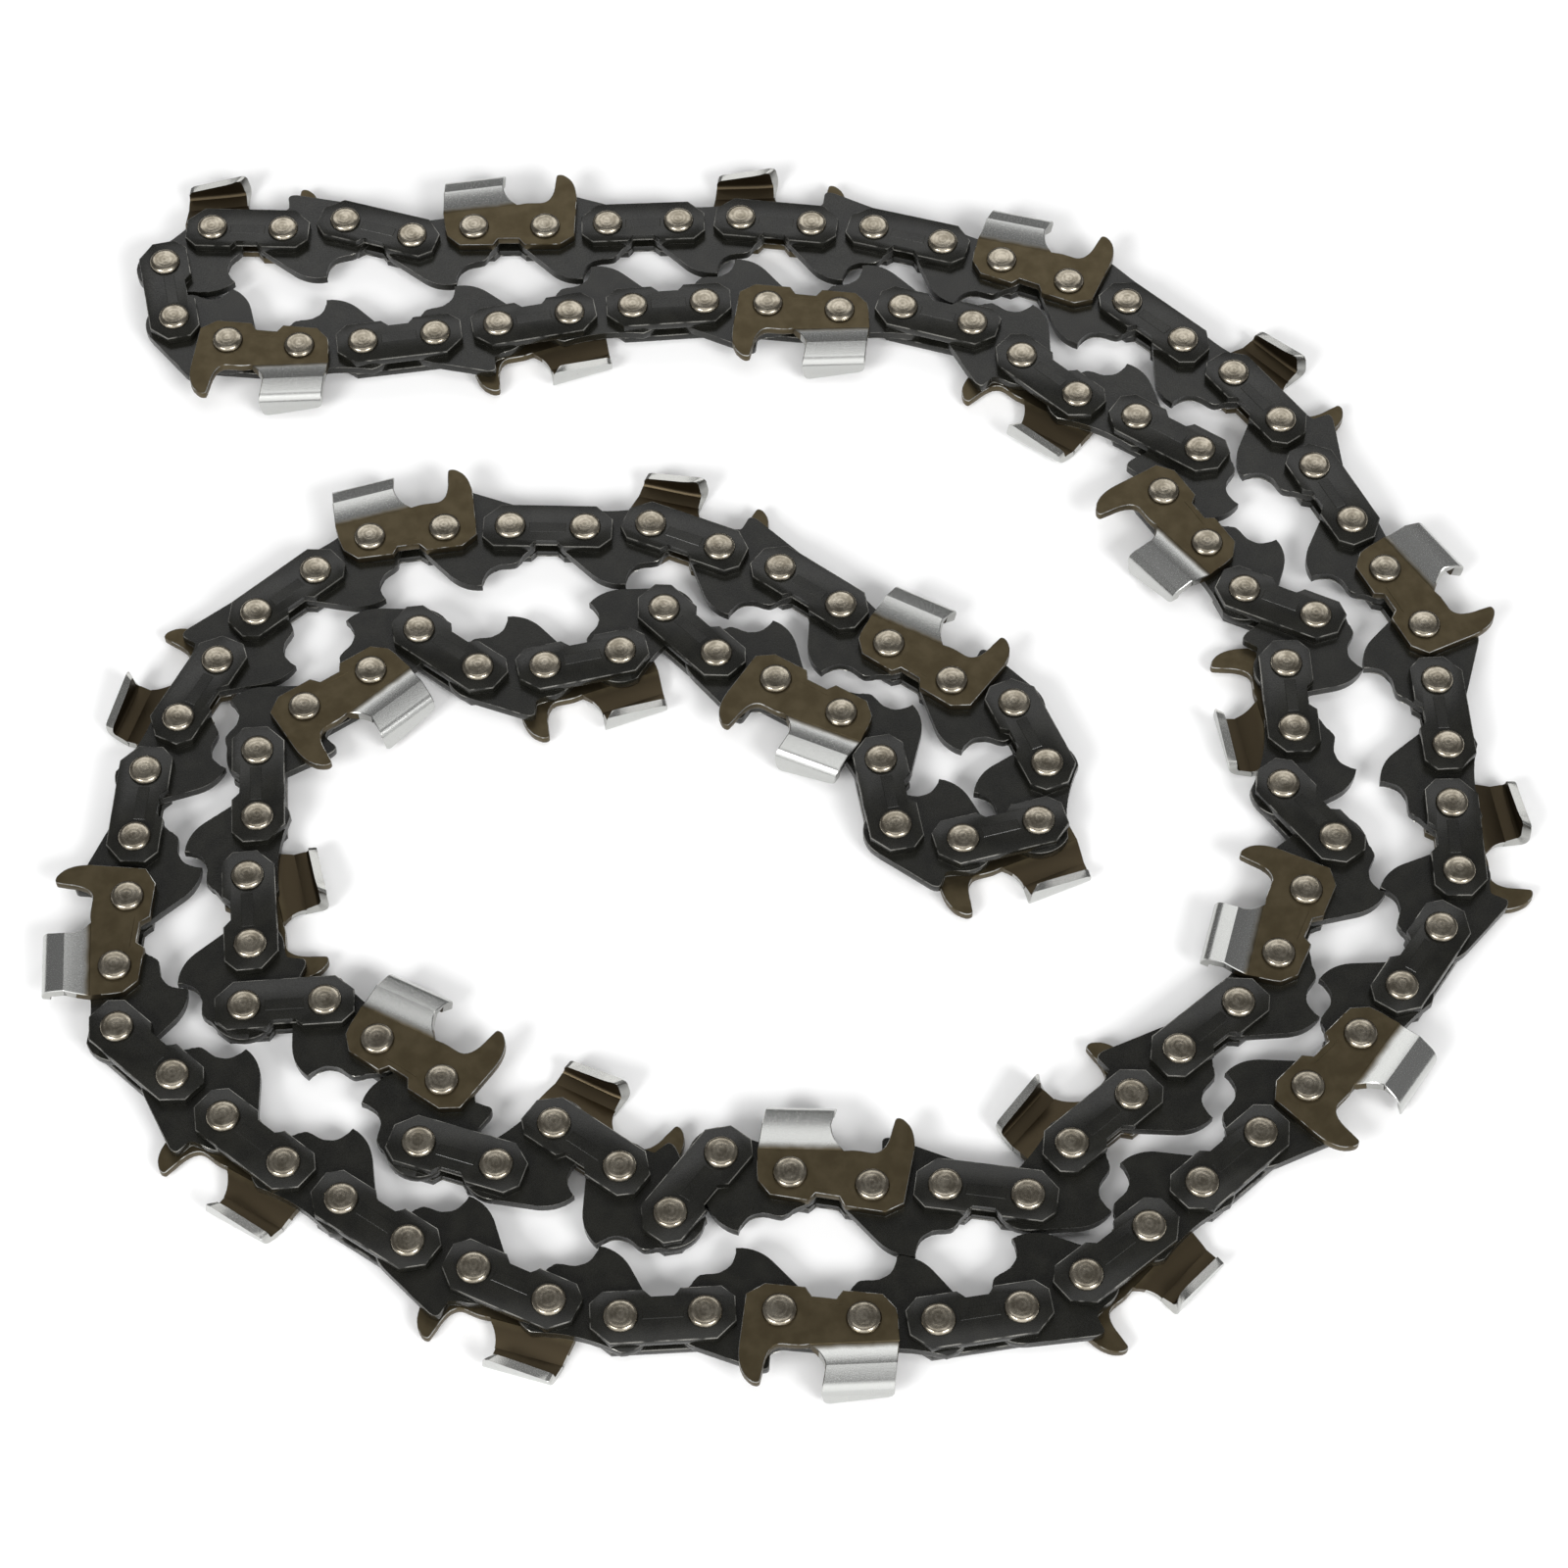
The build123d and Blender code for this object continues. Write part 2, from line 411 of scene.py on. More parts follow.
@dataclass(frozen=True)
class Row:
    """One row of points along a cutter's bent wall, given at the wall's front end.

    Attributes:
        height: Height above the rivets.
        z: Distance of the outer face from the chain's middle.
        tilt: Lean of the outer face in radians, below zero where it leans over to the top.
        inset: How far both ends of the row are drawn in, for a rounded corner.
        taper: Share of the top plate's taper that this row takes.
    """

    height: float
    z: float
    tilt: float
    inset: float = 0.0
    taper: float = 0.0


@dataclass
class Cutter:
    """A side plate with a depth gauge, whose wall bows out and folds over into the sloping top plate."""

    front: float = 4.4
    length: float = 8.9
    fall: float = 1.3
    seam: float = 3.75
    groove: float = 0.04
    bow_start: float = 3.95
    crease: float = 6.7
    crease_depth: float = 0.12
    crease_width: float = 0.3
    lip: Point = (0.1, 0.04)
    lip_tilt: float = 0.1
    bow_straight: float = 0.6
    bow_steps: int = 6
    wall_lean: float = 17.0
    wall_top: float = 8.8
    fold_steps: int = 6
    top: float = 10.1
    reach: float = 4.6
    taper: float = 1.6
    corner: float = 0.6
    corner_angles: tuple[int, int, int] = (0, 45, 90)
    top_thickness: float = 1.1
    top_tilt: float = -0.5
    filing_angle: float = 8.0
    hollow_height: float = 7.3
    hollow_back: float = 0.5
    hollow_sweep: float = 2.15
    hollow_power: float = 1.5
    undercut: float = 0.7
    undercut_from: float = 0.75
    brown_rows: tuple[int, int] = (4, 6)
    gullet: Point = (8.0, 4.35)
    gullet_end: float = 9.3
    gullet_pulls: Point = (6.9, 11.2)
    gauge_back: Point = (11.35, 7.9)
    gauge_height: float = 9.6
    gauge_tip: tuple[float, float, float, float] = (11.5, 11.55, 12.0, 12.15)
    gauge_brow: Point = (12.6, 13.45)
    gauge_drops: tuple[float, float, float] = (0.4, 0.85, 2.2)
    gauge_nose: Point = (14.52, 5.0)
    front_foot: Point = (14.4, -1.75)
    heel: Point = (-4.32, 1.0)
    heel_pull: Point = (-4.15, -0.6)
    rear_foot: Point = (-3.75, -1.7)
    foot_start: float = -1.95
    mark: tuple[Point, Point] = ((2.7, 7.2), (-1.5, -1.36))
    columns: int = 8
    bevel: float = 0.1
    bevel_run: float = 0.4
    nearest: float = 0.001
    strap: TieStrap = field(default_factory=TieStrap)

    def drop(self, x: float) -> float:
        """How much lower the sloping top lies at this place along the link."""
        return self.fall * (self.front - x) / self.length

    def bow(self) -> list[Row]:
        """The fine groove at the seam and the hollow bow up to its crease."""
        outer, middle = SIZES.side_outer, (self.seam + self.bow_start) / 2
        rows = [Row(self.seam, outer, 0.0), Row(middle, outer - self.groove, 0.0)]
        rise, proud = self.crease - self.bow_start, SIZES.bow_proud - self.crease_depth
        straight = self.bow_straight
        for step in range(self.bow_steps + 1):
            t = step / self.bow_steps
            slope = math.atan((straight + 2 * (1 - straight) * t) * proud / rise)
            out = proud * (straight * t + (1 - straight) * t * t)
            rows.append(Row(self.bow_start + rise * t, outer + out, slope))
        return rows

    def section(self) -> list[Row]:
        """The bent wall from its seam over the crease to the free edge of the top plate, at its front end."""
        lean = math.radians(self.wall_lean)
        rows = self.bow()
        after = self.crease + self.crease_width
        rows.append(Row(after - self.lip[0], SIZES.bow_outer - self.lip[1], self.lip_tilt))
        rows.append(Row(after, SIZES.bow_outer, -lean))
        wall_z = SIZES.bow_outer - (self.wall_top - after) * math.tan(lean)
        rows.append(Row(self.wall_top, wall_z, -lean))
        radius = (self.top - self.wall_top) / (1 - math.sin(lean))
        centre = (self.top - radius, wall_z - radius * math.cos(lean))
        for step in range(1, self.fold_steps + 1):
            a = lean + (math.pi / 2 - lean) * step / self.fold_steps
            rows.append(Row(centre[0] + radius * math.sin(a), centre[1] + radius * math.cos(a), -a))
        free_edge = SIZES.bow_outer - self.reach
        for a in self.corner_angles:
            side, end = math.sin(math.radians(a)), math.cos(math.radians(a))
            z = free_edge + self.corner * (1 - side)
            rows.append(Row(self.top, z, -math.pi / 2, self.corner * (1 - end), 1.0))
        return rows

    def row_front(self, row: Row) -> float:
        """Where a row ends at the front, which is filed hollow and sweeps forward into the gullet."""
        slant = (SIZES.bow_outer - row.z) * math.tan(math.radians(self.filing_angle))
        if row.height < self.hollow_height:
            share = (self.hollow_height - row.height) / (self.hollow_height - self.seam)
            return self.front - self.hollow_back + self.hollow_sweep * share ** 2
        share = (row.height - self.hollow_height) / (self.top - self.hollow_height)
        return self.front - self.hollow_back * (1 - share ** self.hollow_power) - slant

    def plate_outline(self, seam: list[Point]) -> list[Point]:
        """The flat plate's outline without its seam, from the seam's rear end to its front end."""
        strap = self.strap
        low, high = -strap.foot, self.gauge_height
        tip, brow = self.gauge_tip, self.gauge_brow
        tip_drop, brow_drop, nose_drop = self.gauge_drops
        gauge_mid = (brow[1], high - brow_drop)
        floor = self.gullet[1]
        return [
            *bend(self.heel, self.heel_pull, self.rear_foot, 3),
            (self.foot_start, low),
            *strap.notch(),
            (SIZES.strap_pitch + strap.end - strap.foot_cut[0], low),
            self.front_foot,
            *bend(self.gauge_nose, (self.gauge_nose[0], high - nose_drop), gauge_mid, 6),
            *bend(gauge_mid, (brow[0], high), (tip[3], high), 3),
            *bend((tip[2], high), (tip[1], high), (tip[0], high - tip_drop), 4),
            *bend(self.gauge_back, (self.gullet_pulls[1], floor), (self.gullet_end, floor), 8),
            *bend(self.gullet, (self.gullet_pulls[0], floor), seam[-1], 5)[:-1],
        ]

    def stations(self, first: float, last: float) -> list[float]:
        """Places of a row's points from its rear to its front, one close to each end for the broken edge."""
        near, far = first + self.bevel, last - self.bevel
        steps = self.columns - 2
        return [first, *[near + (far - near) * step / steps for step in range(steps + 1)], last]

    def rows_of_points(self, shape: Shape) -> tuple[Grid, Grid]:
        """Sets the points of the bent wall.

        Args:
            shape: The shape that gets them.

        Returns:
            The rows of the outer face and those of the inner face.
        """
        outer: Grid = []
        inner: Grid = []
        begin = self.undercut_from
        for row in self.section():
            first, last = self.front - self.length + row.inset, self.row_front(row) - row.inset
            thick = SIZES.side_thickness if row.tilt > self.top_tilt else self.top_thickness
            over_hollow = max(0.0, row.height - self.hollow_height) / (self.top - self.hollow_height)
            outer.append([])
            inner.append([])
            in_y, in_z = math.sin(row.tilt), -math.cos(row.tilt)
            broken = self.bevel * min(1.0, (row.height - self.seam) / self.bevel_run)
            for column, x in enumerate(self.stations(first, last)):
                y = row.height - self.drop(x)
                z = row.z + row.taper * self.taper * (self.front - x) / self.length
                share = (x - first) / (last - first)
                back = self.undercut * over_hollow * max(0.0, share - begin) / (1 - begin)
                sunk = broken if column in (0, self.columns) else 0.0
                outer[-1].append(shape.verts.new((x, y + sunk * in_y, z + sunk * in_z)))
                inner[-1].append(shape.verts.new((x - back, y + thick * in_y, z + thick * in_z)))
        return outer, inner

    def build(self) -> Shape:
        """Makes the right-hand cutter with its rear rivet at the origin."""
        shape = bmesh.new()
        zones = zone_layer(shape)
        outer, inner = self.rows_of_points(shape)
        edge = without_doubles(self.plate_outline([(v.co.x, v.co.y) for v in outer[0]]))
        edge_outer = [shape.verts.new((x, y, SIZES.side_outer)) for x, y in edge]
        edge_inner = [shape.verts.new((x, y, SIZES.side_inner)) for x, y in edge]
        shape.faces.new([*edge_outer, *reversed(outer[0])])
        shape.faces.new(list(reversed([*edge_inner, *reversed(inner[0])])))
        for low, high, low_in, high_in in zip(outer, outer[1:], inner, inner[1:]):
            for c in range(self.columns):
                face = shape.faces.new((low[c], low[c + 1], high[c + 1], high[c]))
                face[zones] = Zone.PLATED.value
                face = shape.faces.new((low_in[c], high_in[c], high_in[c + 1], low_in[c + 1]))
                face[zones] = Zone.INNER.value
        loops = []
        for edge_points, rows in ((edge_outer, outer), (edge_inner, inner)):
            up_front = [row[-1] for row in rows]
            down_rear = [row[0] for row in reversed(rows)]
            loops.append([*edge_points, *up_front, *list(reversed(rows[-1]))[1:-1], *down_rear])
        first, last = len(edge_outer) + self.brown_rows[0], len(loops[0]) - self.brown_rows[1]
        for place, face in enumerate(band(shape, loops[1], loops[0], start=3)):
            ground = first <= place < last
            face[zones] = Zone.GROUND.value if ground else Zone.BODY.value
        bmesh.ops.recalc_face_normals(shape, faces=shape.faces)
        pairs = [pair for points in (edge_outer, edge_inner) for pair in zip(points, points[1:])]
        break_edges(shape, [shape.edges.get(pair) for pair in pairs], self.bevel, limit=False)
        bmesh.ops.remove_doubles(shape, verts=shape.verts, dist=self.nearest)
        self.strap.add_rib(shape, 1, self.mark)
        return shape


@dataclass
class Rivet:
    """A headed pin: flat heads with a well rounded rim that stand a hair above their plates."""

    head: float = 2.16
    flat: float = 1.55
    foot_gap: float = 0.12
    shank: float = 2.05
    segments: int = 20
    rim_steps: int = 3

    def half_profile(self) -> list[Point]:
        """Radius and height from the flat of the upper head over its rim to the shank."""
        top = SIZES.head_top
        drop = SIZES.head_height - self.foot_gap
        width = self.head - self.flat
        rim = [(self.flat, top)]
        for step in range(1, self.rim_steps + 1):
            a = math.radians(90 * step / self.rim_steps)
            rim.append((self.flat + width * math.sin(a), top - drop * (1 - math.cos(a))))
        return [*rim, (self.shank, SIZES.side_outer + self.foot_gap / 2)]

    def build(self) -> Shape:
        """Makes the rivet standing on its axis through the middle of the chain."""
        upper = self.half_profile()
        profile = [*upper, *[(r, -z) for r, z in reversed(upper)]]
        shape = bmesh.new()
        zone_layer(shape)
        rings = []
        for radius, height in profile:
            points = arc((0, 0), radius, 0, 360, self.segments)[:-1]
            rings.append([shape.verts.new((x, y, height)) for x, y in points])
        for upper_ring, lower_ring in zip(rings, rings[1:]):
            band(shape, lower_ring, upper_ring, start=3)
        shape.faces.new(rings[0])
        shape.faces.new(list(reversed(rings[-1])))
        bmesh.ops.recalc_face_normals(shape, faces=shape.faces)
        return shape


class MasterShop:
    """Makes one finished master of each kind of piece, in its own collection."""

    def __init__(self, smooth_angle: float = 32.0, flat_corners: int = 24) -> None:
        """Keeps how faces are shaded.

        Args:
            smooth_angle: Up to this angle in degrees neighbouring faces are shaded as one.
            flat_corners: Faces with this many corners or more are shaded flat.
        """
        self.smooth_angle = smooth_angle
        self.flat_corners = flat_corners
        self.collections: dict[LinkKind, Collection] = {}

    def to_object(self, shape: Shape, name: str) -> Piece:
        """Turns a shape in millimetres into an object in metres.

        Args:
            shape: The shape, which is freed.
            name: Name of the object.

        Returns:
            The object.
        """
        bmesh.ops.scale(shape, vec=(MM, MM, MM), verts=shape.verts)
        mesh = bpy.data.meshes.new(name)
        shape.to_mesh(mesh)
        shape.free()
        return bpy.data.objects.new(name, mesh)

    def bore(self, link: Piece) -> None:
        """Cuts the two rivet holes of a drive link."""
        reach, bevel = SIZES.bore_reach, SIZES.bore_bevel
        cutters = []
        for x in (0.0, SIZES.drive_pitch):
            outline = arc((x, 0), SIZES.bore_radius, 0, 360, SIZES.bore_corners)[:-1]
            cutters.append(self.to_object(plate(outline, -reach, reach, bevel), "bore"))
            show(cutters[-1])
            modifier = link.modifiers.new("bore", "BOOLEAN")
            modifier.operation = "DIFFERENCE"
            modifier.solver = "EXACT"
            modifier.object = cutters[-1]
        show(link)
        make_plain(link)
        bpy.context.scene.collection.objects.unlink(link)
        for cutter in cutters:
            bpy.data.objects.remove(cutter)

    def finish(self, master: Piece) -> Piece:
        """Gives a master its shading and the attribute with its own coordinates in millimetres."""
        mesh = master.data
        mesh.set_sharp_from_angle(angle=math.radians(self.smooth_angle))
        smooth = [face.loop_total < self.flat_corners for face in mesh.polygons]
        mesh.polygons.foreach_set("use_smooth", smooth)
        local = mesh.attributes.new("link_local", "FLOAT_VECTOR", "POINT")
        for vertex in mesh.vertices:
            local.data[vertex.index].vector = vertex.co / MM
        return master

    def shelve(self, kind: LinkKind, *masters: Piece) -> None:
        """Puts the masters of one kind into a collection of their own, in the order of their names."""
        collection = bpy.data.collections.new(f"masters_{kind.value}")
        for master in masters:
            collection.objects.link(self.finish(master))
        self.collections[kind] = collection

    def make_all(self) -> dict[LinkKind, Collection]:
        """Makes every master.

        Returns:
            The collection of masters for each kind.
        """
        drive = DriveLink()
        for kind in (LinkKind.PLAIN_DRIVE, LinkKind.BUMPER_DRIVE):
            link = self.to_object(drive.build(kind is LinkKind.BUMPER_DRIVE), kind.value)
            self.bore(link)
            self.shelve(kind, link)
        strap = TieStrap()
        upper = self.to_object(strap.build(1), "strap_a_upper")
        lower = self.to_object(strap.build(-1), "strap_b_lower")
        self.shelve(LinkKind.TIE_STRAP, upper, lower)
        self.shelve(LinkKind.RIGHT_CUTTER, self.to_object(Cutter().build(), "right_cutter"))
        mirrored = Cutter().build()
        bmesh.ops.scale(mirrored, vec=(1, 1, -1), verts=mirrored.verts)
        bmesh.ops.reverse_faces(mirrored, faces=mirrored.faces)
        self.shelve(LinkKind.LEFT_CUTTER, self.to_object(mirrored, "left_cutter"))
        self.shelve(LinkKind.RIVET, self.to_object(Rivet().build(), "rivet"))
        return self.collections

    def clear(self) -> None:
        """Removes the masters once their copies are plain meshes."""
        for collection in self.collections.values():
            for master in list(collection.objects):
                bpy.data.objects.remove(master)
            bpy.data.collections.remove(collection)


@dataclass(frozen=True)
class Place:
    """Where one link goes: its rear rivet, its turn about the upright axis and which master it copies."""

    x: float
    y: float
    turn: float
    variant: int = 0


class ChainLay:
    """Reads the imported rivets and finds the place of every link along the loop."""

    def __init__(self) -> None:
        """Walks along the loop once."""
        self.rivets, self.bodies = self.walk()
        self.count = len(self.rivets)

    @staticmethod
    def island_centres(node: Piece) -> list[Vector]:
        """Middles of the separate solids of a node.

        Args:
            node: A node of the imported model, which is left as it is.

        Returns:
            One middle for each solid, in metres.
        """
        shape = bmesh.new()
        shape.from_mesh(node.data)
        bmesh.ops.remove_doubles(shape, verts=shape.verts, dist=SAME_PLACE)
        left = set(shape.verts)
        centres = []
        while left:
            todo = [left.pop()]
            island = []
            while todo:
                vertex = todo.pop()
                island.append(vertex.co.copy())
                near = [edge.other_vert(vertex) for edge in vertex.link_edges]
                todo += [other for other in near if other in left]
                left -= set(near)
            centres.append(sum(island, Vector()) / len(island))
        shape.free()
        return centres

    def walk(self) -> tuple[list[Vector], list[str]]:
        """Orders all rivets along the loop by the two pitches that take turns.

        Returns:
            The rivets in order, and the body that each belongs to.
        """
        loose = []
        for name, node in frame["nodes"].items():
            if name.endswith(LinkKind.RIVET.value):
                loose += [(centre, node["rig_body"]) for centre in self.island_centres(node)]
        joints = {joint["name"]: Vector(joint["pos_m"]) for joint in frame["joints"]}
        ends = [joints[f"outer_swing_1_{end}_rivet"] for end in ("rear", "front")]
        order = []
        for place in ends:
            nearest = min(loose, key=lambda rivet: (rivet[0] - place).xy.length)
            loose.remove(nearest)
            order.append(nearest)
        while loose:
            pitch = SIZES.pitch(SIZES.first_swing_index + len(order) - 1) * MM
            here = order[-1][0]
            nearest = min(loose, key=lambda rivet: abs((rivet[0] - here).xy.length - pitch))
            loose.remove(nearest)
            order.append(nearest)
        shift = len(order) - SIZES.first_swing_index
        order = order[shift:] + order[:shift]
        return [rivet[0] for rivet in order], [rivet[1] for rivet in order]

    def swing_body(self, index: int) -> str:
        """Name of the swinging link whose rear hinge is at this rivet."""
        rear = [joint for joint in frame["joints"] if joint["name"].endswith("_rear_rivet")]
        here = self.rivets[index]
        name = min(rear, key=lambda joint: (Vector(joint["pos_m"]) - here).xy.length)["name"]
        side, _, number, *_ = name.split("_")
        return f"{side}_swing_link_{number}"

    def place(self, index: int, variant: int = 0) -> Place:
        """The place of the link that starts at this rivet."""
        here, ahead = self.rivets[index], self.rivets[(index + 1) % self.count]
        return Place(here.x, here.y, math.atan2(ahead.y - here.y, ahead.x - here.x), variant)

    def groups(self) -> dict[str, tuple[LinkKind, list[Place]]]:
        """All pieces by node.

        Returns:
            For each node its kind and the places of its pieces.
        """
        found: dict[str, tuple[LinkKind, list[Place]]] = {}

        def put(node: str, kind: LinkKind, place: Place) -> None:
            found.setdefault(node, (kind, []))[1].append(place)

        for index in range(self.count):
            body = self.bodies[index]
            put(f"{body}_{LinkKind.RIVET.value}", LinkKind.RIVET, self.place(index))
            if index % 2 == 1:
                bumper = index % SIZES.cutter_step == 1
                kind = LinkKind.BUMPER_DRIVE if bumper else LinkKind.PLAIN_DRIVE
                swings = body != self.bodies[(index + 1) % self.count]
                node = self.swing_body(index) if swings else f"{body}_{kind.value}"
                put(node, kind, self.place(index))
                continue
            cutter = SIZES.cutter_side(index) if index % SIZES.cutter_step == 0 else 0
            for side, kind in ((1, LinkKind.RIGHT_CUTTER), (-1, LinkKind.LEFT_CUTTER)):
                if side == cutter:
                    put(f"{body}_{kind.value}", kind, self.place(index))
                else:
                    strap = LinkKind.TIE_STRAP
                    put(f"{body}_{strap.value}", strap, self.place(index, 0 if side > 0 else 1))
        return found


class NodeBench:
    """Short ways to add and join the nodes of one tree."""

    def __init__(self, tree: bpy.types.NodeTree) -> None:
        """Keeps the tree."""
        self.tree = tree

    def feed(self, node: Node, inputs: Inputs) -> None:
        """Joins or sets inputs of a node.

        Args:
            node: The node.
            inputs: For an input's name or number the socket to join or the value to set.
        """
        for key, value in inputs.items():
            if isinstance(value, Socket):
                self.tree.links.new(value, node.inputs[key])
            else:
                node.inputs[key].default_value = value

    def add(self, kind: str, inputs: Inputs | None = None, **settings: object) -> Node:
        """Adds a node.

        Args:
            kind: Its type.
            inputs: What goes into it.
            settings: Its other settings, which are made first.

        Returns:
            The node.
        """
        node = self.tree.nodes.new(kind)
        for key, value in settings.items():
            setattr(node, key, value)
        self.feed(node, inputs or {})
        return node

    def step(self, value: Socket, source: Point, target: Point = (0, 1)) -> Socket:
        """A smooth step from one span of values to another."""
        inputs = {"Value": value, **dict(zip(SPAN_INPUTS, (*source, *target)))}
        return self.add("ShaderNodeMapRange", inputs, interpolation_type="SMOOTHSTEP").outputs["Result"]


class ChainTree(NodeBench):
    """The node tree that sets copies of a master along the chain."""

    def __init__(self) -> None:
        """Builds the tree with its named inputs."""
        super().__init__(bpy.data.node_groups.new("links_along_chain", "GeometryNodeTree"))
        self.inputs: dict[str, str] = {}
        self.build()

    def socket(self, name: str, kind: str, way: str = "INPUT") -> None:
        """Adds an input or output of the tree and keeps an input's identifier."""
        made = self.tree.interface.new_socket(name, in_out=way, socket_type=kind)
        if way == "INPUT":
            self.inputs[name] = made.identifier

    def named(self, name: str, kind: str) -> Socket:
        """An attribute of the places."""
        node = self.add("GeometryNodeInputNamedAttribute", {"Name": name}, data_type=kind)
        return node.outputs["Attribute"]

    def build(self) -> None:
        """Joins the nodes that set the copies, mark each one, make them real and set their finish."""
        self.socket("Places", "NodeSocketGeometry")
        self.socket("Masters", "NodeSocketCollection")
        self.socket("Finish", "NodeSocketMaterial")
        self.socket("Seed", "NodeSocketInt")
        self.socket("Links", "NodeSocketGeometry", "OUTPUT")
        start = self.add("NodeGroupInput").outputs
        picking = {"Collection": start["Masters"], "Separate Children": True, "Reset Children": True}
        masters = self.add("GeometryNodeCollectionInfo", picking, transform_space="ORIGINAL")
        rotation = self.add("FunctionNodeEulerToRotation", {0: self.named("turn", "FLOAT_VECTOR")})
        setting = {
            "Points": start["Places"],
            "Instance": masters.outputs[0],
            "Pick Instance": True,
            "Instance Index": self.named("variant", "INT"),
            "Rotation": rotation.outputs[0],
        }
        copies = self.add("GeometryNodeInstanceOnPoints", setting).outputs[0]
        chance = self.add("FunctionNodeRandomValue", {"Seed": start["Seed"]}, data_type="FLOAT")
        marking = {"Geometry": copies, "Name": "piece_tint"}
        mark = self.add("GeometryNodeStoreNamedAttribute", marking, data_type="FLOAT", domain="INSTANCE")
        value = next(s for s in mark.inputs if s.name == "Value" and s.enabled)
        self.tree.links.new(next(s for s in chance.outputs if s.enabled), value)
        real = self.add("GeometryNodeRealizeInstances", {"Geometry": mark.outputs[0]}).outputs[0]
        finish = self.add("GeometryNodeSetMaterial", {"Geometry": real, "Material": start["Finish"]})
        self.add("NodeGroupOutput", {"Links": finish.outputs[0]})

    def lay(
        self, name: str, places: list[Place], masters: Collection, finish: Material, seed: int
    ) -> Piece:
        """Sets one node's pieces and turns them into a plain mesh.

        Args:
            name: Name of the finished object.
            places: Where its pieces go.
            masters: Collection with the masters to copy.
            finish: Material of all pieces.
            seed: Start of the random marks.

        Returns:
            The finished object, at the origin.
        """
        carrier = bpy.data.meshes.new(f"{name}_places")
        height = SIZES.bow_outer * MM
        carrier.from_pydata([(place.x, place.y, height) for place in places], [], [])
        carrier.attributes.new("turn", "FLOAT_VECTOR", "POINT")
        carrier.attributes.new("variant", "INT", "POINT")
        for number, place in enumerate(places):
            carrier.attributes["turn"].data[number].vector = (0, 0, place.turn)
            carrier.attributes["variant"].data[number].value = place.variant
        piece = bpy.data.objects.new(name, carrier)
        modifier = piece.modifiers.new("links", "NODES")
        modifier.node_group = self.tree
        for key, value in (("Masters", masters), ("Finish", finish), ("Seed", seed)):
            modifier[self.inputs[key]] = value
        show(piece)
        make_plain(piece)
        bpy.data.meshes.remove(carrier)
        return piece


@dataclass(frozen=True)
class Spots:
    """Noise of a finish in a link's own millimetres.

    Attributes:
        scale: Spots per millimetre.
        detail: Number of finer layers.
        span: Values between which it takes effect.
        stretch: Scale along each of the link's axes.
    """

    scale: float
    detail: float
    span: Point = (0.2, 0.8)
    stretch: Position = (1, 1, 1)


class NodeSheet(NodeBench):
    """The nodes of one material."""

    def __init__(self, name: str) -> None:
        """Starts an empty material with a surface shader."""
        self.material = bpy.data.materials.new(name)
        self.material.use_nodes = True
        super().__init__(self.material.node_tree)
        self.tree.nodes.clear()
        self.shader = self.add("ShaderNodeBsdfPrincipled")
        self.add("ShaderNodeOutputMaterial", {"Surface": self.shader.outputs[0]})

    def attribute(self, name: str, output: str = "Fac") -> Socket:
        """An attribute of the mesh."""
        node = self.add("ShaderNodeAttribute", attribute_name=name, attribute_type="GEOMETRY")
        return node.outputs[output]

    def local(self) -> Socket:
        """The link's own coordinates in millimetres."""
        return self.attribute("link_local", "Vector")

    def noise(self, spots: Spots) -> Socket:
        """Noise that differs on every piece.

        Args:
            spots: What it looks like.

        Returns:
            The value as it is, not held to the span.
        """
        spreading = {0: PIECE_SPREAD, "Scale": self.attribute("piece_tint")}
        spread = self.add("ShaderNodeVectorMath", spreading, operation="SCALE").outputs[0]
        moving = {0: self.local(), 1: spots.stretch, 2: spread}
        moved = self.add("ShaderNodeVectorMath", moving, operation="MULTIPLY_ADD").outputs[0]
        pattern = {"Vector": moved, "Scale": spots.scale, "Detail": spots.detail}
        return self.add("ShaderNodeTexNoise", pattern).outputs[0]

    def cover(self, spots: Spots) -> Socket:
        """How far spots cover the surface, from 0 to 1 over their span."""
        return self.step(self.noise(spots), spots.span)

    def maths(self, kind: str, first: Socket, second: Socket | float) -> Socket:
        """A sum, product or other step of two values."""
        return self.add("ShaderNodeMath", {0: first, 1: second}, operation=kind).outputs[0]

    def mix(self, factor: Socket, first: Socket | Colour, second: Socket | Colour) -> Socket:
        """Mixes two colours.

        Args:
            factor: Share of the second.
            first: The first colour.
            second: The second colour.

        Returns:
            The mixed colour.
        """
        colours = [(*colour, 1) if isinstance(colour, tuple) else colour for colour in (first, second)]
        inputs = {0: factor, **dict(zip(MIX_COLOURS, colours))}
        return self.add("ShaderNodeMix", inputs, data_type="RGBA").outputs[MIX_RESULT]

    def in_zone(self, zone: Zone) -> Socket:
        """1 on the faces of one zone and 0 elsewhere."""
        test = {0: self.attribute("zone"), 1: zone.value, 2: ZONE_REACH}
        return self.add("ShaderNodeMath", test, operation="COMPARE").outputs[0]

    def rubbed(self, spots: Spots) -> Socket:
        """How far spots of wear cover the broken edges."""
        return self.maths("MULTIPLY", self.in_zone(Zone.WORN), self.cover(spots))

    def bump(self, height: Socket, depth: float, strength: float) -> Socket:
        """A surface that is roughened by a height in metres."""
        inputs = {"Height": height, "Distance": depth, "Strength": strength}
        return self.add("ShaderNodeBump", inputs).outputs[0]

    def finished(self, surface: Inputs) -> Material:
        """The material, once its shader has its inputs."""
        self.feed(self.shader, surface)
        return self.material


